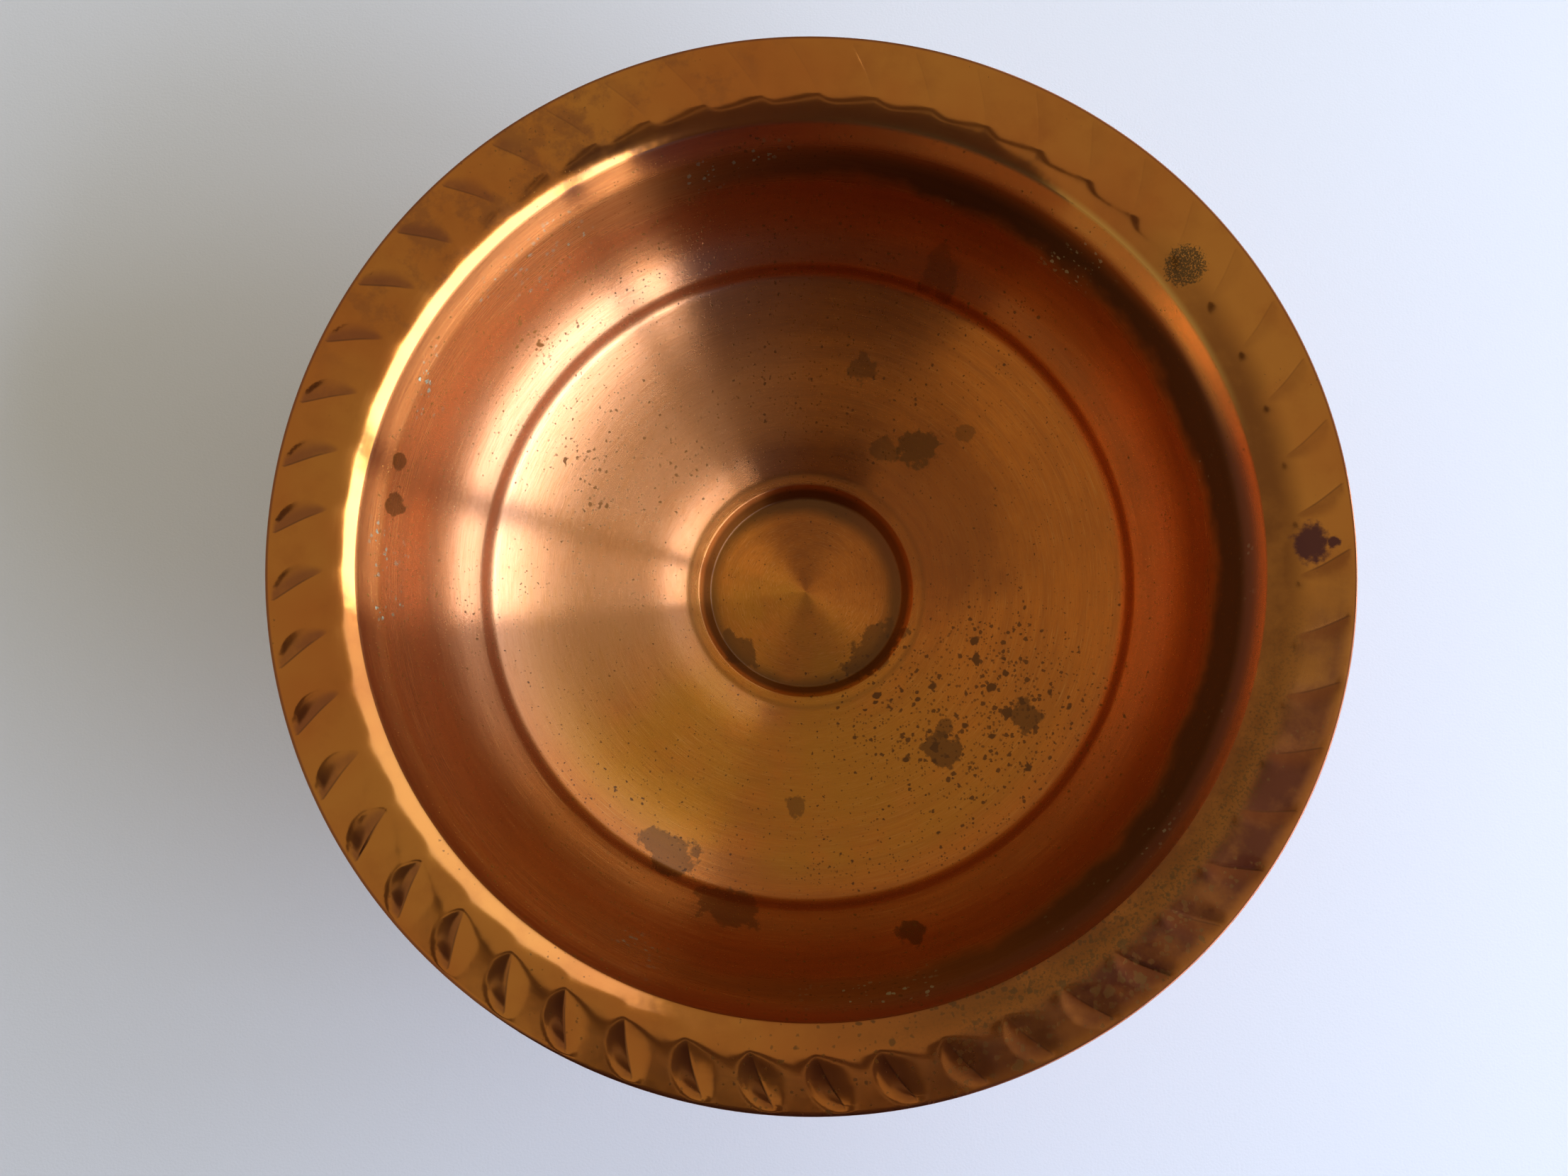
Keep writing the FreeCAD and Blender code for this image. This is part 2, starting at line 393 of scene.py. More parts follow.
def dish_bands():
    """The sheet's section cut into bands: (rows, columns, finish number).  The columns are finest where the
    flutes are, and each band leaves its last row to the next.  The bands are the floor, wall, roll and
    flange above, then flange and bowl below, and for each stand the steps along it in millimetres and in
    degrees of bend, its share of the most columns, and its finish."""
    sizes = bpy.context.scene.dish_sizes
    section = sheet_section(dish_outline(), sizes.sheet, at_axis=True)
    radius = section[:, 0]
    wall = np.nonzero(radius >= FLOOR_PART)[0]
    polished = np.nonzero(radius >= POLISH_START)[0]
    fluted = np.nonzero(radius >= EVEN_START)[0]
    edge = np.nonzero(radius >= sizes.radius - sizes.sheet)[0]
    cuts = (0, wall[0], polished[0], fluted[0], edge[-1], fluted[-1], len(section) - 1)
    bands = (
        (2.0, 8.0, 0.25, 0),
        (2.3, 8.0, 0.5, 0),
        (0.7, 5.0, 0.5, 1),
        (0.75, 30.0, 1.0, 1),
        (1.3, 12.0, 0.5, 2),
        (4.4, 20.0, 0.25, 2),
    )
    most = sizes.flute_count * len(FLUTE_COLUMNS)
    for start, end, (step, bend, share, finish) in zip(cuts, cuts[1:], bands):
        yield spread(section[start:end + 1], step * MM, math.radians(bend)), int(most * share), finish


def build_dish(finishes):
    """Dish: a turned surface closed at both ends on the axis, pressed into flutes near the rim."""
    points, groups, run_so_far, first, last_row = [], [], 0.0, 0, None
    masks = []
    bands = list(dish_bands())
    for number, (rows, columns, finish) in enumerate(bands):
        run = run_so_far + np.append(0.0, np.cumsum(np.hypot(*np.diff(rows, axis=0).T)))
        run_so_far = run[-1]
        opening = number == 0
        kept = slice(1 if opening else 0, -1)
        radius, height = rows[kept, :1], rows[kept, 1:]
        turns, share = flute_turns(radius, columns)
        out, up, hollow, crease = flute_press(radius, share)
        masks.append(np.stack((hollow.ravel(), crease.ravel())))
        band_points, corners = lattice(radius + out, height + up, turns, run[kept, None], first)
        points.append(band_points)
        first += len(band_points)
        if opening:
            axis_points = [(0.0, 0.0, rows[0, 1])]
            first_ring = corners[0]
        else:
            groups.append((bridge(last_row, corners[0]), last_finish))
        groups.append((quads(corners[:-1], corners[1:]), finish))
        last_row, last_finish = corners[-1], finish
    axis_points.append((0.0, 0.0, rows[-1, 1]))
    groups.append((cap(first_ring, 0.0, first, True), bands[0][2]))
    groups.append((cap(last_row, run_so_far, first + 1, False), last_finish))
    dish = make_mesh("dish_sheet", np.concatenate(points + [np.array(axis_points)]), groups, finishes)
    masks.append(np.zeros((2, 2)))
    for name, values in zip((HOLLOW, CREASE), np.concatenate(masks, axis=1)):
        dish.data.attributes.new(name, "FLOAT", "POINT").data.foreach_set("value", values)
    return dish


# ---------------------------------------------------------------- foot, wire and solder

def lip_height(radius):
    """Underside of the foot's lip, millimetres: one solder film and two sheets below the dish's floor."""
    (inner, low, _), (outer, high, _) = BOWL_CORNERS[3:5]
    run, rise = outer - inner, low - high
    sheets = 2.0 * bpy.context.scene.dish_sizes.sheet / MM + SOLDER_FILM
    floor = DISH_HEIGHT / MM - low + (radius - inner) * rise / run
    return floor - sheets * math.hypot(run, rise) / run


def hem_centre(thick):
    """Radius and height, millimetres, of the middle of the wire in the hem."""
    hem = HEM_WIRE_RADIUS + HEM_PLAY + thick
    return np.array((bpy.context.scene.foot_sizes.radius / MM - hem, hem - HEM_LAP)), hem


def foot_outline(thick):
    """Outer side of the foot, millimetres: lip, collar, sweep, and the arc rolled over the wire."""
    centre, hem = hem_centre(thick)
    to_turn = np.array((COLLAR_RADIUS, SWEEP_HEIGHT)) - centre
    start = math.atan2(to_turn[1], to_turn[0]) - math.acos(hem / np.linalg.norm(to_turn))
    angles = np.linspace(start, math.radians(HEM_END_ANGLE - 360.0), HEM_ROLL_POINTS)
    roll = centre + hem * np.stack((np.cos(angles), np.sin(angles)), axis=1)
    corners = (
        (LIP_RADIUS, lip_height(LIP_RADIUS), 0.0),
        (COLLAR_RADIUS, lip_height(COLLAR_RADIUS), COLLAR_BEND),
        (COLLAR_RADIUS, SWEEP_HEIGHT, SWEEP_ROUND),
        (roll[0, 0], roll[0, 1], 0.0),
    )
    return np.concatenate((rounded(corners)[:-1], roll))


def foot_wobble(turns, radius, height):
    """The hem stands flat: what would reach below the table is pressed level."""
    return 0.0 * turns, np.maximum(height, 0.0) - height


def build_foot(finish):
    """Foot: the sheet's section carried round the axis."""
    thick = bpy.context.scene.foot_sizes.sheet / MM
    section = sheet_section(foot_outline(thick), thick) * MM
    return ring_piece(
        "foot_sheet", section, columns=400, finish=finish, step=1.3 * MM, bend_step=math.radians(11.0),
        wobble=foot_wobble)


def wire_wobble(turns, radius, height):
    """A drawn wire is never quite even: two slow waves round the ring."""
    wave = WIRE_WAVE * MM * np.cos(2.0 * TURN * turns)
    return wave, 0.0 * wave


def build_hem_wire(finish):
    """Wire: a circle carried round the axis."""
    thick = bpy.context.scene.foot_sizes.sheet / MM
    centre, _ = hem_centre(thick)
    angles = np.linspace(0.0, -TURN, WIRE_SIDES + 1)[:-1]
    section = centre + HEM_WIRE_RADIUS * np.stack((np.cos(angles), np.sin(angles)), axis=1)
    return ring_piece(
        "hem_wire_ring", section * MM, columns=240, finish=finish, step=0.5 * MM,
        bend_step=math.radians(15.0), wobble=wire_wobble)


def solder_section():
    """Solder, millimetres: a film between lip and dish, a bead outside it and a fillet between collar and
    well."""
    thick = bpy.context.scene.dish_sizes.sheet / MM
    half = thick / 2.0
    (corner_radius, corner_drop, _), (mouth_radius, mouth_drop, _) = BOWL_CORNERS[1:3]
    wedge = lip_height(COLLAR_RADIUS) - SOLDER_DROP
    lean = (mouth_radius - corner_radius) / (corner_drop - mouth_drop)
    in_wall = corner_radius + (wedge - DISH_HEIGHT / MM + corner_drop) * lean + half
    bead = LIP_RADIUS + SOLDER_BEAD
    corners = (
        (mouth_radius + thick, DISH_HEIGHT / MM - mouth_drop - half, 0.0),
        (bead, lip_height(bead) + 3.0 * half + SOLDER_FILM, 0.1),
        (bead, lip_height(bead) + 2.0 * half - SOLDER_FILM, 0.12),
        (LIP_RADIUS - SOLDER_BEAD, lip_height(LIP_RADIUS - SOLDER_BEAD) + half, 0.3),
        (COLLAR_RADIUS - half, lip_height(COLLAR_RADIUS) + half, 0.1),
        (COLLAR_RADIUS - half, wedge, 0.3),
        (in_wall, wedge, 0.3),
        (mouth_radius + thick, DISH_HEIGHT / MM - mouth_drop - half, 0.0),
    )
    return rounded(corners)[:-1]


def solder_wobble(turns, radius, height):
    """Lumps where the solder was fed in: seven waves round the ring with seeded phases, added up."""
    draw = np.random.default_rng(SOLDER_SEED)
    waves = np.arange(9, 51, 6)
    phases = draw.uniform(0.0, TURN, (2, len(waves)))
    angle = turns[..., None] * TURN * waves
    lumps = np.cos(angle + phases[0]).sum(axis=-1) * SOLDER_LUMP * MM
    sag = np.cos(angle + phases[1]).sum(axis=-1) * SOLDER_SAG * MM
    low = smooth(height, DISH_HEIGHT * 0.25, DISH_HEIGHT * 0.21)
    return lumps * smooth(radius, LIP_RADIUS * MM, (LIP_RADIUS + SOLDER_BEAD) * MM), sag * low


def build_solder(finish):
    """Solder: its section carried round the axis, lumpy where it shows."""
    return ring_piece(
        "solder_ring", solder_section() * MM, columns=400, finish=finish, step=0.4 * MM,
        bend_step=math.radians(20.0), wobble=solder_wobble)


# ---------------------------------------------------------------- finishes

class Finish:
    """A material put together node by node.  Each method gives back the socket with its result, and takes
    numbers, tuples or sockets.  paint lays one film after another over colour, the colour so far."""

    def __init__(self, name):
        self.material = bpy.data.materials.new(name)
        self.material.use_nodes = True
        self.tree = self.material.node_tree
        self.surface = self.tree.nodes["Principled BSDF"]
        self.place = self.add("ShaderNodeTexCoord").outputs["Object"]
        self.flat = self.vector("MULTIPLY", self.place, (1.0, 1.0, 0.0))
        self.outward = self.vector("NORMALIZE", self.flat)
        self.radius = self.math("DIVIDE", self.vector("LENGTH", self.flat, output=1), MM)
        self.colour = None

    def add(self, kind, *inputs, **settings):
        """New node with its settings, and its first inputs in order; None leaves one as it is."""
        node = self.tree.nodes.new(kind)
        for name, value in settings.items():
            setattr(node, name, value)
        for socket, value in zip(node.inputs, inputs):
            self.feed(socket, value)
        return node

    def feed(self, socket, value):
        """Links a socket to an input, or sets the input to a plain value."""
        if isinstance(value, bpy.types.NodeSocket):
            self.tree.links.new(value, socket)
        elif value is not None:
            socket.default_value = value

    def math(self, operation, first, second=0.0, third=0.0):
        return self.add("ShaderNodeMath", first, second, third, operation=operation).outputs[0]

    def vector(self, operation, first, second=(0.0, 0.0, 0.0), third=(0.0, 0.0, 0.0), output=0):
        node = self.add("ShaderNodeVectorMath", first, second, third, operation=operation)
        return node.outputs[output]

    def chain(self, operation, values):
        """One operation carried through two or more values."""
        total = values[0]
        for value in values[1:]:
            total = self.math(operation, total, value)
        return total

    def times(self, *values):
        return self.chain("MULTIPLY", values)

    def plus(self, *values):
        return self.chain("ADD", values)

    def most(self, *values):
        return self.chain("MAXIMUM", values)

    def rise(self, value, low, high, bottom=0.0, top=1.0):
        """Smooth step of value between low and high, from bottom to top."""
        node = self.add("ShaderNodeMapRange", value, low, high, bottom, top, interpolation_type="SMOOTHSTEP")
        return node.outputs[0]

    def beyond(self, low, high, bottom=0.0, top=1.0):
        """Smooth step of the radius, in millimetres."""
        return self.rise(self.radius, low, high, bottom, top)

    def ring(self, start, end, soft):
        """Mask of a ring between two radii in millimetres, with soft edges."""
        return self.times(self.beyond(start - soft, start + soft), self.beyond(end + soft, end - soft))

    def towards(self, x, y):
        """How far a place lies towards a side of the dish: the cosine of the angle between them."""
        return self.vector("DOT_PRODUCT", self.outward, (x, y, 0.0), output=1)

    def noise(self, scale, detail=4.0, roughness=0.55, place=None):
        """Noise over the piece's own coordinates, or over others."""
        place = self.place if place is None else place
        node = self.add("ShaderNodeTexNoise", noise_dimensions="3D")
        inputs = {"Vector": place, "Scale": scale, "Detail": detail, "Roughness": roughness}
        for name, value in inputs.items():
            self.feed(node.inputs[name], value)
        return node.outputs["Fac"]

    def turning(self, around, along, detail, roughness=0.55):
        """Noise drawn out round the axis, with no seam: its place is the direction from the axis times
        around, plus the run along the outline times along."""
        direction = self.vector("SCALE", self.outward)
        direction.node.inputs["Scale"].default_value = around
        turns_and_run = self.add("ShaderNodeUVMap", uv_map=UV_MAP).outputs[0]
        run = self.add("ShaderNodeSeparateXYZ", turns_and_run).outputs[1]
        upward = self.add("ShaderNodeCombineXYZ", 0.0, 0.0, self.times(run, along)).outputs[0]
        return self.noise(1.0, detail, roughness, self.vector("ADD", direction, upward))

    def mask(self, name):
        """A value that the mesh holds for each vertex."""
        return self.add("ShaderNodeAttribute", attribute_name=name).outputs["Fac"]

    def specks(self, size, amount):
        """Mask of ragged specks, one to a Voronoi cell of that size in millimetres, their radius drawn cell
        by cell and larger where amount is.  A noise bends the cells by a third of their size."""
        bend = self.add("ShaderNodeTexNoise", self.place, None, 1.6 / (size * MM), 2.0, noise_dimensions="3D")
        bend = self.vector("SUBTRACT", bend.outputs["Color"], (0.5, 0.5, 0.5))
        shift = self.vector("MULTIPLY", bend, (0.7 * size * MM,) * 3)
        node = self.add("ShaderNodeTexVoronoi", voronoi_dimensions="3D")
        self.feed(node.inputs["Vector"], self.vector("ADD", self.place, shift))
        self.feed(node.inputs["Scale"], 1.0 / (size * MM))
        drawn = self.add("ShaderNodeSeparateColor", node.outputs["Color"]).outputs[0]
        reach = self.times(self.math("POWER", drawn, 3.0), amount)
        return self.rise(self.math("SUBTRACT", reach, node.outputs["Distance"]), -0.02, 0.08)

    def patch(self, angle, radius, half_size, ragged=0.55, soft=0.12, grain=210.0, stretch=1.0):
        """Mask of a ragged patch: the distance from a place on the dish, given by its angle in degrees and
        its radius in millimetres, plus a coarse and a fine noise, falls off round half_size.  stretch
        lengthens it round the axis."""
        turn = math.radians(angle)
        centre = (radius * MM * math.cos(turn), radius * MM * math.sin(turn), 0.0)
        turned, size = (0.0, 0.0, turn), (1.0, stretch, 1.0)
        mapping = self.add("ShaderNodeMapping", self.flat, centre, turned, size, vector_type="TEXTURE")
        away = self.math("DIVIDE", self.vector("LENGTH", mapping.outputs[0], output=1), half_size * MM)
        coarse = self.math("SUBTRACT", self.noise(grain, 2.0, place=self.flat), 0.5)
        fine = self.math("SUBTRACT", self.noise(7.0 * grain, 3.0, 0.7), 0.5)
        broken = self.math("MULTIPLY_ADD", fine, 1.2, self.times(coarse, 4.0))
        return self.rise(self.math("MULTIPLY_ADD", broken, ragged, away), 1.0 + soft, 1.0 - soft)

    def tone(self, name):
        """A colour of the panel."""
        return solid(getattr(bpy.context.scene.copper_colours, name))

    def mix(self, factor, first, second):
        """From the first colour to the second by a factor."""
        node = self.add("ShaderNodeMix", data_type="RGBA", blend_type="MIX")
        for index, value in ((0, factor), (6, first), (7, second)):
            self.feed(node.inputs[index], value)
        return node.outputs[2]

    def between(self, factor, first, second):
        """From one colour of the panel to another by a factor."""
        return self.mix(factor, self.tone(first), self.tone(second))

    def paint(self, film, *amounts):
        """Lays a film over the colour so far, as thick as the product of the amounts."""
        over = self.tone(film) if isinstance(film, str) else film
        self.colour = self.mix(self.times(*amounts), self.colour, over)

    def paint_shoulder_highlight(self):
        """Painted highlight: a pale band along the crest of the shoulder on the far right."""
        far = self.towards(0.60, 0.80)
        self.paint("shoulder_highlight", self.ring(107.4, 110.9, 0.9), self.rise(far, 0.75, 0.98, 0.0, 0.85))

    def brush(self, anisotropy):
        """Turning marks stretch a highlight across them: the tangent runs round, and the quarter turn sets
        it across."""
        tangent = self.add("ShaderNodeTangent", direction_type="UV_MAP", uv_map=UV_MAP)
        self.feed(self.surface.inputs["Tangent"], tangent.outputs[0])
        self.set("Anisotropic", anisotropy)
        self.set("Anisotropic Rotation", 0.25)

    def set(self, name, value):
        self.feed(self.surface.inputs[name], value)

    def emboss(self, height, depth):
        """Bump from height that is depth metres deep."""
        bump = self.add("ShaderNodeBump")
        for name, value in (("Strength", 1.0), ("Distance", depth), ("Height", height)):
            self.feed(bump.inputs[name], value)
        self.set("Normal", bump.outputs[0])

    def metal(self, roughness, height, depth, coat=0.0, coat_roughness=0.3):
        """Joins the results to the surface."""
        self.set("Base Color", self.colour)
        self.set("Roughness", roughness)
        self.set("Metallic", 1.0)
        self.set("Coat Weight", coat)
        self.set("Coat Roughness", coat_roughness)
        self.emboss(height, depth)
        return self.material

    def matt(self, colour):
        """Joins a colour to a surface without a gloss."""
        self.set("Base Color", colour)
        self.set("Roughness", 0.9)
        return self.material


def solid(colour):
    """A colour with full cover."""
    return (colour[0], colour[1], colour[2], 1.0)


# Water marks and dark spots inside: angle in degrees, radius and half size in millimetres, darkness, and
# how far each is drawn out round the axis
WATER_MARKS = (
    (51.8, 51.8, 5.6, 0.8, 1.0),
    (-31.8, 71.3, 4.4, 0.82, 1.0),
    (-50.5, 59.6, 5.0, 0.82, 1.0),
    (-46.0, 55.5, 2.6, 0.7, 1.0),
    (-117.1, 82.6, 4.4, 0.75, 1.9),
    (-103.5, 90.2, 4.2, 0.6, 2.0),
    (66.3, 91.7, 4.6, 0.45, 1.0),
    (-74.4, 96.6, 2.6, 0.8, 1.2),
    (-92.9, 62.3, 2.6, 0.6, 1.0),
    (75.6, 64.6, 3.6, 0.55, 1.0),
    (172.5, 105.2, 1.1, 0.85, 3.4),
    (166.5, 105.8, 0.8, 0.8, 3.0),
    (-40.0, 26.0, 5.4, 0.75, 1.8),
    (-139.2, 26.0, 3.6, 0.75, 1.6),
    (60.0, 46.0, 3.2, 0.6, 1.3),
    (44.0, 63.0, 2.6, 0.5, 1.0),
)


def brushed_copper(name):
    """Inside of the bowl: turning marks, a wash line round the wall, water marks and specks on the floor."""
    finish = Finish(name)
    marks = finish.turning(7.0, 5200.0, 3.0, 0.7)
    broad = finish.turning(1.6, 260.0, 3.0, 0.6)
    lines = finish.turning(11.0, 2300.0, 4.0, 0.75)
    cloud = finish.noise(26.0, 5.0, 0.6)
    finish.colour = finish.between(finish.beyond(84.0, 90.0), "brushed_floor", "brushed_wall")
    finish.paint("tarnish", finish.rise(cloud, 0.35, 0.7), 0.45)
    finish.paint("tarnish", finish.rise(broad, 0.4, 0.7), 0.5)
    finish.paint("tarnish", finish.rise(lines, 0.5, 0.66), 0.4)
    near = finish.rise(finish.towards(-0.6, -0.8), -0.6, 0.7, 0.0, 0.75)
    finish.paint("gold_film", near, finish.beyond(86.0, 76.0), finish.rise(cloud, 0.3, 0.6))
    finish.paint("bright_line", finish.rise(marks, 0.52, 0.72, 0.0, 0.5))
    finish.paint("tarnish", finish.rise(marks, 0.46, 0.3, 0.0, 0.5))

    # painted highlight: on the far left, where the window's highlight falls, the base is painted pinker and
    # paler
    left = finish.towards(-0.90, 0.44)
    painted_highlight = finish.times(finish.rise(left, 0.3, 0.95), finish.beyond(26.0, 40.0))
    painted_highlight = finish.times(painted_highlight, finish.rise(cloud, 0.2, 0.5, 0.65, 0.95))
    painted_highlight = finish.times(painted_highlight, finish.rise(lines, 0.7, 0.4, 0.65, 1.0))
    finish.paint("painted_highlight", painted_highlight, finish.beyond(92.0, 104.0, 1.0, 0.3))

    # wash line: a dark band under the shoulder whose lower border wanders, strongest to the right
    wander = finish.times(finish.math("SUBTRACT", finish.noise(55.0, 4.0), 0.5), 5.0)
    lower = finish.towards(0.85, -0.53)
    side = finish.towards(0.98, 0.17)
    # painted shade: the wall on the window's side, which faces away from the window, is painted darker red
    finish.paint("red_film_and_shade", finish.rise(side, 0.1, 0.95, 0.0, 0.4), finish.beyond(87.0, 92.0))
    inside = finish.rise(finish.plus(finish.radius, wander), 101.4, 104.2)
    outside = finish.rise(finish.plus(finish.radius, finish.rise(lower, 0.9, 0.2, 0.0, 2.8)), 110.8, 107.6)
    band = finish.times(inside, outside, finish.rise(side, -0.75, 0.75, 0.12, 0.97))
    finish.paint("stain_and_shade", band)
    finish.paint("heat_tint", finish.ring(106.8, 111.0, 0.8), finish.rise(lower, 0.2, 0.9, 0.0, 0.4))
    # painted shade: a dark olive ring at the top of the wall on the right, over an olive film
    finish.paint("olive_film_and_shade", finish.ring(109.2, 111.5, 0.9), finish.rise(side, 0.3, 0.9, 0.0, 0.9))
    # painted highlight along the shoulder's crest on the far right
    finish.paint_shoulder_highlight()

    # grime in the corner of the ledge, and grime with painted shade up the side of the well, widest on the far
    # right; painted shade in the step, dark red, none on the far left
    corner = finish.rise(finish.towards(0.75, 0.66), -0.5, 0.9)
    reach = finish.math("MULTIPLY_ADD", wander, 0.7, finish.math("MULTIPLY_ADD", corner, 2.6, finish.radius))
    well = finish.times(finish.rise(reach, 23.6, 28.4), finish.beyond(30.6, 29.4), 0.85)
    finish.paint("mark", finish.most(finish.times(finish.ring(33.4, 34.8, 0.7), 0.35), well))
    finish.paint("red_film_and_shade", finish.ring(86.8, 88.0, 0.8), finish.rise(left, -0.2, 0.7, 0.2, 0.0))

    # brown cloud on the floor beside the well
    finish.paint("red_film_and_shade", finish.patch(28.0, 43.0, 21.0, 0.25, 0.5, 60.0, 1.3), 0.62)
    for angle, radius, half_size, dark, stretch in WATER_MARKS:
        finish.paint("mark", finish.patch(angle, radius, half_size, stretch=stretch), dark)

    # specks: a thin scatter everywhere, thick in drifts on the lower floor and in three clusters
    drift = finish.rise(finish.noise(17.0, 2.0), 0.42, 0.62)
    far_drift = finish.times(finish.patch(145.0, 62.0, 22.0, 0.2, 0.5, 40.0), 0.4)
    drifts = finish.most(finish.patch(-35.0, 58.0, 30.0, 0.2, 0.5, 40.0), far_drift)
    clusters = ((151.0, 74.0, 5.2), (139.9, 96.5, 4.6), (158.0, 63.0, 3.6))
    amount = finish.plus(finish.times(drift, 0.12), finish.times(drifts, 0.3))
    clustered = finish.most(*(finish.patch(*cluster) for cluster in clusters))
    amount = finish.math("MULTIPLY_ADD", clustered, 0.3, amount)
    dust = finish.times(finish.specks(0.8, finish.math("MULTIPLY_ADD", amount, 0.8, 0.3)), 0.6)
    fine = finish.times(finish.specks(1.5, finish.plus(amount, 0.22)), 0.8)
    coarse = finish.times(finish.specks(4.0, finish.plus(amount, 0.05)), 0.9)
    dots = finish.most(dust, fine, coarse)
    finish.paint("mark", dots)

    # green and pale crusts along the wash line
    crust = finish.times(finish.ring(101.5, 108.0, 1.2), finish.rise(finish.noise(30.0, 2.0), 0.52, 0.66))
    finish.paint("verdigris", finish.specks(1.3, 0.55), crust)

    roughness = finish.math("MULTIPLY_ADD", marks, 0.1, finish.beyond(27.0, 34.0, 0.31, 0.19))
    roughness = finish.math("MULTIPLY_ADD", finish.most(band, dots), 0.2, roughness)
    roughness = finish.times(roughness, finish.beyond(106.0, 110.4, 1.0, 0.65))
    height = finish.plus(finish.times(marks, 0.5), finish.times(lines, 0.7), finish.times(dots, -0.5))
    height = finish.times(height, finish.beyond(106.0, 110.2, 1.0, 0.2))
    finish.brush(0.97)
    return finish.metal(roughness, height, 0.018 * MM, 0.55, 0.25)


def polished_copper(name):
    """Shoulder, flange and rim: bright, with thin gold to red tarnish, specks, a granular spot and a tint."""
    finish = Finish(name)
    cloud = finish.noise(14.0, 4.0, 0.6)
    film = finish.noise(60.0, 5.0, 0.65)
    finish.colour = finish.between(finish.rise(cloud, 0.38, 0.66), "polished", "polished_red")
    finish.paint("tarnish", finish.rise(film, 0.45, 0.75), 0.35)

    # the far left of the flange is smeared dull
    smear = finish.rise(finish.noise(95.0, 5.0, 0.7), 0.46, 0.62)
    finish.paint("oxide", finish.patch(128.0, 122.0, 22.0, 0.35, 0.5, 60.0, 3.0), smear, 0.5)

    # the lower right has gone red, and beside it the flutes are darker brown and rougher
    finish.paint("polished_red", finish.patch(-62.0, 126.0, 20.0, 0.25, 0.5, 60.0, 3.2), 0.55)
    dulled = finish.patch(-42.0, 121.0, 30.0, 0.25, 0.6, 60.0, 2.6)
    worn = finish.times(dulled, finish.rise(film, 0.3, 0.6, 0.6, 1.0))
    finish.paint("flute_brown", worn, finish.beyond(114.5, 118.5), finish.beyond(126.0, 129.6, 1.0, 0.35))

    # the shoulder on the right, which faces away from the window, carries painted shade in dark olive, an olive
    # film and grit
    right = finish.towards(0.92, -0.39)
    inner = finish.rise(finish.math("MULTIPLY_ADD", film, 7.0, finish.radius), 124.0, 117.0)
    shaded = finish.times(inner, finish.rise(right, 0.2, 0.8, 0.0, 0.97))
    finish.paint("olive_film_and_shade", shaded, finish.rise(film, 0.25, 0.6, 0.6, 1.0))
    grit = finish.rise(finish.noise(1500.0, 3.0, 0.6), 0.5, 0.6)
    finish.paint("spot", grit, dulled, finish.ring(111.5, 118.5, 2.0), 0.6)
    # painted highlight along the shoulder's crest on the far right
    finish.paint_shoulder_highlight()

    # the half moons keep a purple film that the polish does not reach, and the creases are painted dark along
    # their lines as shade; both are faint at the top
    kept = finish.rise(finish.towards(0.34, 0.94), 0.2, 0.95, 0.62, 0.08)
    purple = finish.between(finish.rise(right, -0.6, 0.6), "heat_tint", "red_film_and_shade")
    finish.paint(purple, finish.mask(HOLLOW), finish.rise(film, 0.3, 0.55, 0.45, 1.0), kept)
    finish.paint("stain_and_shade", finish.mask(CREASE), kept, 0.8)

    granular = finish.patch(37.7, 116.6, 4.6, 0.3, 0.12, 1500.0)
    finish.paint("spot", granular, finish.rise(finish.noise(2600.0, 3.0), 0.38, 0.5))
    tint = finish.patch(0.8, 119.6, 3.9, 0.3, 0.3, 500.0, 1.2)
    finish.paint("purple_spot", finish.most(tint, finish.patch(0.9, 124.6, 1.5, 0.4, 0.3, 700.0)), 0.95)

    drift = finish.rise(finish.noise(22.0, 2.0), 0.48, 0.62)
    lower = finish.patch(-72.0, 114.0, 20.0, 0.2, 0.5, 60.0, 4.0)
    amount = finish.plus(finish.times(drift, 0.22), finish.times(lower, 0.34), finish.times(dulled, 0.2))
    fine = finish.times(finish.specks(1.2, finish.plus(amount, 0.1)), 0.55)
    dots = finish.most(fine, finish.times(finish.specks(3.6, finish.times(amount, 0.7)), 0.7))
    finish.paint("spot", dots)
    finish.paint("heat_tint", finish.beyond(DISH_RADIUS / MM - 0.9, DISH_RADIUS / MM - 0.4), 0.75)

    wear = finish.times(finish.turning(5.0, 900.0, 3.0, 0.6), 0.1)
    roughness = finish.plus(wear, finish.rise(dulled, 0.0, 1.0, 0.1, 0.3))
    roughness = finish.plus(roughness, finish.times(finish.most(dots, granular), 0.25))
    height = finish.math("MULTIPLY_ADD", finish.noise(120.0, 2.0), 9.0, finish.times(film, 0.6))
    finish.brush(0.5)
    return finish.metal(roughness, finish.math("SUBTRACT", height, dots), 0.008 * MM, 0.6, 0.12)


def dull_copper(name):
    """Underside and foot: turning marks under an even brown oxide, worn brighter in streaks."""
    finish = Finish(name)
    marks = finish.turning(5.0, 2600.0, 3.0, 0.7)
    broad = finish.turning(1.2, 180.0, 3.0, 0.6)
    cloud = finish.noise(30.0, 5.0, 0.6)
    finish.colour = finish.between(finish.rise(cloud, 0.36, 0.66), "brushed_wall", "oxide")
    finish.paint("polished", finish.rise(broad, 0.45, 0.7), 0.4)
    amount = finish.rise(finish.noise(20.0, 2.0), 0.45, 0.65, 0.12, 0.45)
    finish.paint("stain_and_shade", finish.specks(2.4, amount), 0.6)
    height = finish.plus(finish.times(marks, 0.6), finish.times(broad, 0.4))
    finish.brush(0.6)
    return finish.metal(finish.plus(finish.times(marks, 0.2), 0.26), height, 0.008 * MM, 0.15, 0.35)


def drawn_wire(name):
    """Wire: copper with marks drawn along it and a brown bloom."""
    finish = Finish(name)
    bloom = finish.noise(120.0, 4.0)
    finish.colour = finish.between(finish.rise(bloom, 0.35, 0.7), "polished_red", "oxide")
    roughness = finish.plus(finish.times(bloom, 0.25), 0.25)
    return finish.metal(roughness, finish.turning(2.0, 9000.0, 2.0), 0.004 * MM)


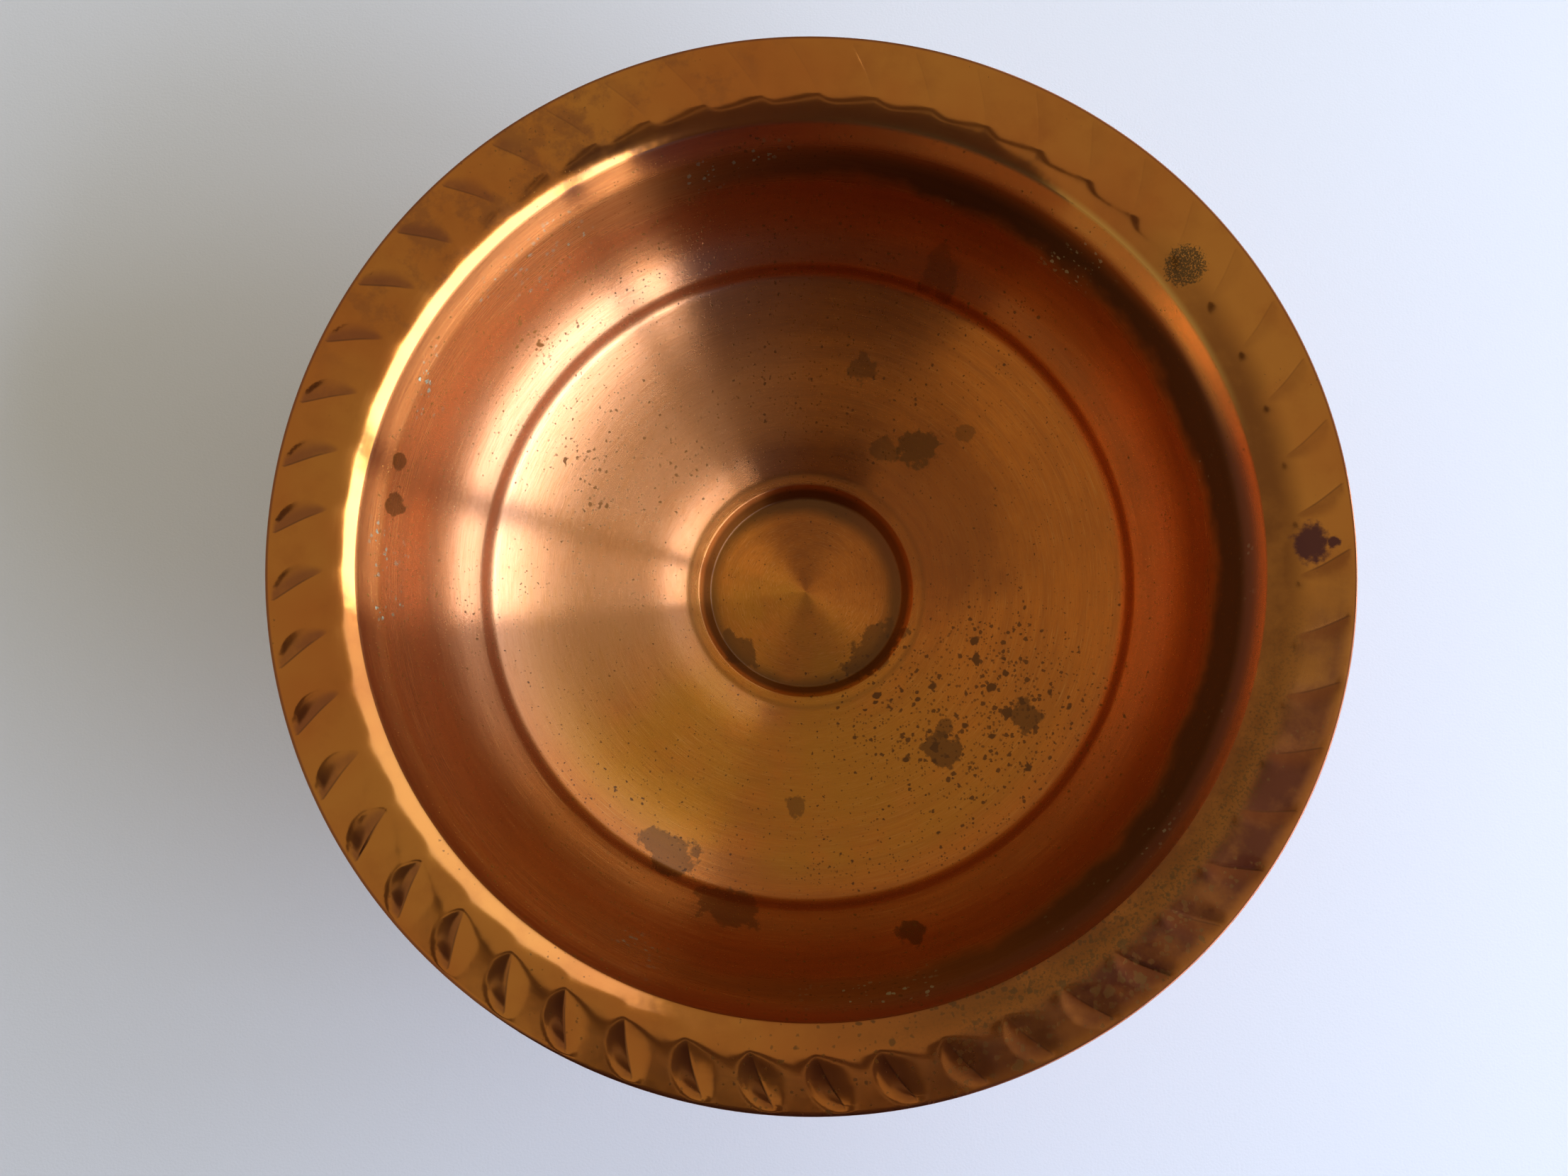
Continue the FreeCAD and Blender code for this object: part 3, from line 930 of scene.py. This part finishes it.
def soft_solder(name):
    """Solder: grey tin and lead with frosty grain and darker hollows."""
    finish = Finish(name)
    frost = finish.noise(700.0, 5.0, 0.7)
    cloud = finish.noise(160.0, 3.0)
    bright = finish.tone("solder")
    dull = solid([0.45 * value for value in bright[:3]])
    finish.colour = finish.mix(finish.rise(cloud, 0.4, 0.65), bright, dull)
    roughness = finish.plus(finish.times(frost, 0.35), 0.25)
    return finish.metal(roughness, finish.plus(finish.times(frost, 0.4), cloud), 0.05 * MM)


def pale_cloth(name):
    """Floor: plain pale matt cloth with a faint weave."""
    finish = Finish(name)
    floor = solid(bpy.context.scene.stage_settings.floor_colour)
    paler = solid([min(1.0, value * 1.03) for value in floor[:3]])
    finish.set("Specular IOR Level", 0.1)
    finish.emboss(finish.noise(1400.0, 2.0), 0.05 * MM)
    return finish.matt(finish.mix(finish.noise(3.0, 2.0), floor, paler))


def dark_card(name):
    """Screen: dark matt paint, a little uneven."""
    finish = Finish(name)
    return finish.matt(finish.mix(finish.noise(6.0, 2.0), (0.09, 0.06, 0.05, 1.0), (0.14, 0.09, 0.075, 1.0)))


# ---------------------------------------------------------------- settings

def length(label, text, default):
    """A length in metres that the sidebar shows in the scene's unit."""
    return FloatProperty(name=label, description=text, default=default, min=0.0, unit="LENGTH", precision=5)


def colour(label, text, default):
    """A linear colour."""
    return FloatVectorProperty(
        name=label, description=text, default=default, size=3, min=0.0, max=1.0, subtype="COLOR")


class DishSizes(PropertyGroup):
    radius: length("Radius", "From the axis to the edge of the rim", DISH_RADIUS)
    height: length("Height", "From the table to the edge of the rim", DISH_HEIGHT)
    sheet: length("Sheet", "Thickness of the copper sheet", 0.8 * MM)
    flange_slope: FloatProperty(
        name="Flange slope", description="How steeply the flange falls towards the bowl",
        default=math.radians(6.0), min=0.0, subtype="ANGLE")
    flute_count: IntProperty(
        name="Flutes", description="How many flutes are pressed into the flange", default=50, min=3)
    flute_depth: length("Flute depth", "How far the press goes into the flange", 0.75 * MM)
    flute_width: FloatProperty(
        name="Flute width", description="Share of the pitch that a half moon takes",
        default=0.4, min=0.05, max=0.9)
    fan_width: FloatProperty(
        name="Fan width", description="Share of the pitch that the slope behind a crease takes",
        default=0.5, min=0.05, max=0.9)
    crease_outer: length("Crease end", "Radius of a crease's outer end", 128.6 * MM)
    crease_inner: length("Crease start", "Radius of a crease's inner end", 117.2 * MM)
    crease_lean: FloatProperty(
        name="Crease lean", description="How far the inner end is turned clockwise of the outer one",
        default=math.radians(3.2), subtype="ANGLE")
    roll_wave: length("Roll wave", "How far the flutes push the shoulder's roll in and out", 1.5 * MM)


class FootSizes(PropertyGroup):
    radius: length("Radius", "From the axis to the outside of the hem", FOOT_RADIUS)
    sheet: length("Sheet", "Thickness of the foot's sheet", 0.8 * MM)


class CopperColours(PropertyGroup):
    polished: colour("Polished", "Flange and shoulder", (0.64, 0.25, 0.045))
    polished_red: colour("Polished red", "Flange and shoulder where the film is redder", (0.58, 0.18, 0.03))
    brushed_floor: colour("Brushed floor", "Floor and well", (0.66, 0.195, 0.020))
    brushed_wall: colour("Brushed wall", "Wall above the step", (0.60, 0.17, 0.022))
    tarnish: colour("Tarnish", "Thin brown film", (0.42, 0.115, 0.016))
    oxide: colour("Oxide", "Brown oxide underneath", (0.30, 0.10, 0.035))
    # also painted shade along the flutes' creases
    stain_and_shade: colour("Stain", "Wash line, dirt in the creases and specks underneath", (0.075, 0.028, 0.010))
    spot: colour("Spot", "Granular spot and specks on the flange", (0.13, 0.060, 0.014))
    gold_film: colour("Gold film", "Floor on the near left", (0.56, 0.225, 0.016))
    # painted highlight: a pinker, paler base where the window's highlight falls on the far left
    painted_highlight: colour("Rubbed", "Fresh copper on the far left", (0.70, 0.31, 0.145))
    # painted highlight along the shoulder's crest on the far right
    shoulder_highlight: colour("Bare", "Crest of the shoulder on the far right", (0.78, 0.46, 0.14))
    bright_line: colour("Bright lines", "Fresh turning marks", (0.80, 0.36, 0.10))
    # also painted shade up the side of the well
    mark: colour("Mark", "Water marks and specks inside", (0.15, 0.050, 0.006))
    heat_tint: colour("Heat tint", "Purple bloom", (0.22, 0.060, 0.035))
    purple_spot: colour("Purple spot", "Overheated spot on the flange", (0.09, 0.018, 0.030))
    flute_brown: colour("Brown film", "Dull flutes on the right", (0.15, 0.036, 0.016))
    # also painted shade on the shoulder and the top of the wall on the right
    olive_film_and_shade: colour("Olive film", "Shoulder on the right", (0.25, 0.078, 0.010))
    # also painted shade on the wall on the window's side and in the step
    red_film_and_shade: colour("Red film", "Wall and half moons on the right, step and cloud", (0.22, 0.050, 0.008))
    verdigris: colour("Verdigris", "Green and pale crusts", (0.42, 0.40, 0.27))
    solder: colour("Solder", "Soft solder", (0.62, 0.61, 0.58))


class StageSettings(PropertyGroup):
    floor_size: length("Floor", "Length of the floor's side", 16.0)
    floor_colour: colour("Floor colour", "Pale cloth", (0.78, 0.80, 0.90))
    room_colour: colour("Room colour", "Soft light from all round", (0.41, 0.355, 0.215))
    window_colour: colour("Window colour", "Soft light from the windows", (0.69, 0.80, 0.97))
    window_strength: FloatProperty(
        name="Window strength", description="Radiance of the window panes", default=9.2, min=0.0)
    window_distance: length("Window distance", "From the dish to the window wall", 1.5)
    window_bearing: FloatProperty(
        name="Window bearing", description="Direction of the window wall, anticlockwise from +X",
        default=math.radians(-15.0), subtype="ANGLE")
    camera_lens: FloatProperty(
        name="Lens", description="Focal length on a 36 millimetre sensor, in millimetres",
        default=32.55, min=1.0)
    camera_place: FloatVectorProperty(
        name="Camera place", description="Where the camera stands", default=(-0.00803, -0.05353, 0.43353),
        size=3, subtype="TRANSLATION", unit="LENGTH")
    camera_turn: FloatVectorProperty(
        name="Camera turn", description="Euler angles of the camera",
        default=(math.radians(7.55), math.radians(-0.226), 0.0), size=3, subtype="EULER")


# ---------------------------------------------------------------- stage

# Panes of the two window walls: bearing of the wall anticlockwise from the window's, start and end as
# tangents of the bearing from its middle, foot and head as tangents of the elevation, and the share of
# full strength
PANES = (
    (0.0, -0.60, -0.245, 0.16, 0.92, 1.0),
    (0.0, -0.165, 0.69, 0.16, 0.92, 1.0),
    (0.0, 0.78, 1.02, 0.16, 0.92, 1.0),
    (60.0, -0.51, 0.51, 0.16, 0.95, 0.16),
)

# Dark screen on the camera's side, from its edge over the dish down to the floor: height and distance from
# the axis in metres, and the bearings where a level line across it starts and ends
SCREEN = (
    (0.47, 0.126, -24.0, -120.0),
    (0.47, 0.20, -40.0, -122.0),
    (0.38, 0.60, -62.0, -128.0),
    (0.01, 0.90, -62.0, -132.0),
)

# Dark oval round the camera: middle and half sizes in metres
OVAL = (-0.015, -0.062, 0.47, 0.100, 0.042)


def sheet_object(name, points, finish):
    """Object of four-cornered faces between the neighbours of a grid of points."""
    numbers = np.arange(points[..., 0].size).reshape(points.shape[:2])
    faces = np.stack((numbers[:-1, :-1], numbers[:-1, 1:], numbers[1:, 1:], numbers[1:, :-1]), axis=-1)
    mesh = bpy.data.meshes.new(name)
    mesh.from_pydata(points.reshape(-1, 3), [], faces.reshape(-1, 4).tolist())
    mesh.materials.append(finish)
    sheet = bpy.data.objects.new(name, mesh)
    bpy.context.scene.collection.objects.link(sheet)
    return sheet


def level_floor(name, side, count, finish):
    """Level square grid: x and y run evenly from minus to plus half the side, z is 0."""
    line = np.linspace(-side / 2.0, side / 2.0, count + 1)
    x, y = np.meshgrid(line, line)
    return sheet_object(name, np.stack((x, y, 0.0 * x), axis=-1), finish)


def bent_screen(name, count, finish):
    """Screen through level arcs round the axis: x = d cos b, y = d sin b, where height and distance d run
    straight from one arc to the next and the bearing b runs evenly along each."""
    height, away, start, end = np.array(SCREEN).T[:, :, None]
    bearing = np.radians(start + (end - start) * np.linspace(0.0, 1.0, count + 1))
    points = np.stack((away * np.cos(bearing), away * np.sin(bearing), height + 0.0 * bearing), axis=-1)
    return unseen(sheet_object(name, points, finish))


def level_oval(name, count, finish):
    """Level oval: x and y are its half sizes times s cos a and s sin a, with s from a fiftieth to 1 and a
    all round."""
    x, y, z, long_half, short_half = OVAL
    out, angle = np.meshgrid(np.linspace(0.02, 1.0, 4), np.linspace(0.0, TURN, count + 1), indexing="ij")
    points = (x + long_half * out * np.cos(angle), y + short_half * out * np.sin(angle), z + 0.0 * out)
    return unseen(sheet_object(name, np.stack(points, axis=-1), finish))


def unseen(sheet):
    """The metal reflects it, the camera does not see it."""
    sheet.visible_camera = False
    return sheet


def add_pane(number, aside, start, end, foot, head, share):
    """One pane: a rectangular lamp in a window wall that faces the dish."""
    settings = bpy.context.scene.stage_settings
    away = settings.window_distance
    lamp = bpy.data.lights.new(f"window_pane_{number}", "AREA")
    lamp.shape = "RECTANGLE"
    lamp.size = (end - start) * away
    lamp.size_y = (head - foot) * away
    lamp.color = settings.window_colour
    lamp.energy = settings.window_strength * share * math.pi * lamp.size * lamp.size_y
    pane = bpy.data.objects.new(lamp.name, lamp)
    bearing = settings.window_bearing + math.radians(aside)
    out = np.array((math.cos(bearing), math.sin(bearing), 0.0))
    side = np.array((math.sin(bearing), -math.cos(bearing), 0.0))
    pane.location = away * (out + side * (start + end) / 2.0 + np.array((0.0, 0.0, (foot + head) / 2.0)))
    pane.rotation_euler = (math.pi / 2.0, 0.0, bearing + math.pi / 2.0)
    pane.visible_camera = False
    bpy.context.scene.collection.objects.link(pane)


def add_camera():
    """Camera over the dish, looking down."""
    settings = bpy.context.scene.stage_settings
    camera = bpy.data.objects.new("camera", bpy.data.cameras.new("camera"))
    camera.data.lens = settings.camera_lens
    camera.data.clip_start = 0.01
    camera.location = settings.camera_place
    camera.rotation_euler = settings.camera_turn
    bpy.context.scene.collection.objects.link(camera)
    bpy.context.scene.camera = camera


def set_room():
    """Even soft light from all round."""
    world = bpy.data.worlds.new("room")
    world.use_nodes = True
    background = world.node_tree.nodes["Background"]
    background.inputs["Color"].default_value = solid(bpy.context.scene.stage_settings.room_colour)
    background.inputs["Strength"].default_value = 1.0
    bpy.context.scene.world = world


# ---------------------------------------------------------------- operators

def settle(piece, node):
    """The piece rides on the body and stands for its CAD node, which is hidden."""
    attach(piece, BODY)
    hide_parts(node)


class OBJECT_OT_copper_dish(Operator):
    """Build the dish: well, floor, step, wall, shoulder and fluted flange in one sheet"""
    bl_idname = "object.copper_dish"
    bl_label = "Dish"

    def execute(self, context):
        above = [brushed_copper("copper_brushed"), polished_copper("copper_polished")]
        settle(build_dish(above + [dull_copper("copper_under")]), "dish")
        return {"FINISHED"}


class OBJECT_OT_copper_foot(Operator):
    """Build the foot: lip, collar, sweep and rolled hem"""
    bl_idname = "object.copper_foot"
    bl_label = "Foot"

    def execute(self, context):
        settle(build_foot(dull_copper("copper_foot")), "foot")
        return {"FINISHED"}


class OBJECT_OT_hem_wire(Operator):
    """Build the wire that stiffens the hem of the foot"""
    bl_idname = "object.hem_wire"
    bl_label = "Hem wire"

    def execute(self, context):
        settle(build_hem_wire(drawn_wire("copper_wire")), "hem_wire")
        return {"FINISHED"}


class OBJECT_OT_solder_ring(Operator):
    """Build the solder between the dish and the lip of the foot"""
    bl_idname = "object.solder_ring"
    bl_label = "Solder"

    def execute(self, context):
        settle(build_solder(soft_solder("solder_grey")), "solder_seam")
        return {"FINISHED"}


class SCENE_OT_dish_stage(Operator):
    """Set the stage: pale floor, window light, room light and camera"""
    bl_idname = "scene.dish_stage"
    bl_label = "Stage"

    def execute(self, context):
        settings = context.scene.stage_settings
        level_floor("floor", settings.floor_size, count=8, finish=pale_cloth("pale_cloth"))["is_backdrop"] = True
        bent_screen("dark_screen", count=24, finish=dark_card("dark_screen_paint"))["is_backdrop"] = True
        level_oval("dark_oval", count=32, finish=dark_card("dark_oval_paint"))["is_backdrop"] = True
        for number, pane in enumerate(PANES):
            add_pane(number, *pane)
        set_room()
        add_camera()
        context.scene.view_settings.view_transform = "Standard"
        return {"FINISHED"}


class VIEW3D_PT_copper_dish(Panel):
    """Sizes, colours and the steps that build the dish"""
    bl_idname = "VIEW3D_PT_copper_dish"
    bl_label = "Copper dish"
    bl_space_type = "VIEW_3D"
    bl_region_type = "UI"
    bl_category = "Dish"

    def draw(self, context):
        for group, sizes in GROUPS.items():
            column = self.layout.column()
            for name in sizes.__annotations__:
                column.prop(getattr(context.scene, group), name)
        for step in STEPS:
            self.layout.operator(step.bl_idname)


GROUPS = {
    "dish_sizes": DishSizes,
    "foot_sizes": FootSizes,
    "copper_colours": CopperColours,
    "stage_settings": StageSettings,
}
STEPS = (
    OBJECT_OT_copper_dish,
    OBJECT_OT_copper_foot,
    OBJECT_OT_hem_wire,
    OBJECT_OT_solder_ring,
    SCENE_OT_dish_stage,
)
CLASSES = (*GROUPS.values(), *STEPS, VIEW3D_PT_copper_dish)


def register():
    for cls in CLASSES:
        bpy.utils.register_class(cls)
    for name, group in GROUPS.items():
        setattr(bpy.types.Scene, name, PointerProperty(type=group))


def unregister():
    for name in GROUPS:
        delattr(bpy.types.Scene, name)
    for cls in reversed(CLASSES):
        bpy.utils.unregister_class(cls)


def write_sizes():
    """Gathers the box of the CAD model and the box of the finished one as plain numbers in metres; nothing is
    written.
    """
    boxes = {"cad": cad_box, "visual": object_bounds()}
    plain = {name: [list(corner) for corner in box] for name, box in boxes.items()}


def main():
    register()
    bpy.ops.object.copper_dish()
    bpy.ops.object.copper_foot()
    bpy.ops.object.hem_wire()
    bpy.ops.object.solder_ring()
    bpy.ops.scene.dish_stage()
    write_sizes()


if __name__ == "__main__":
    main()
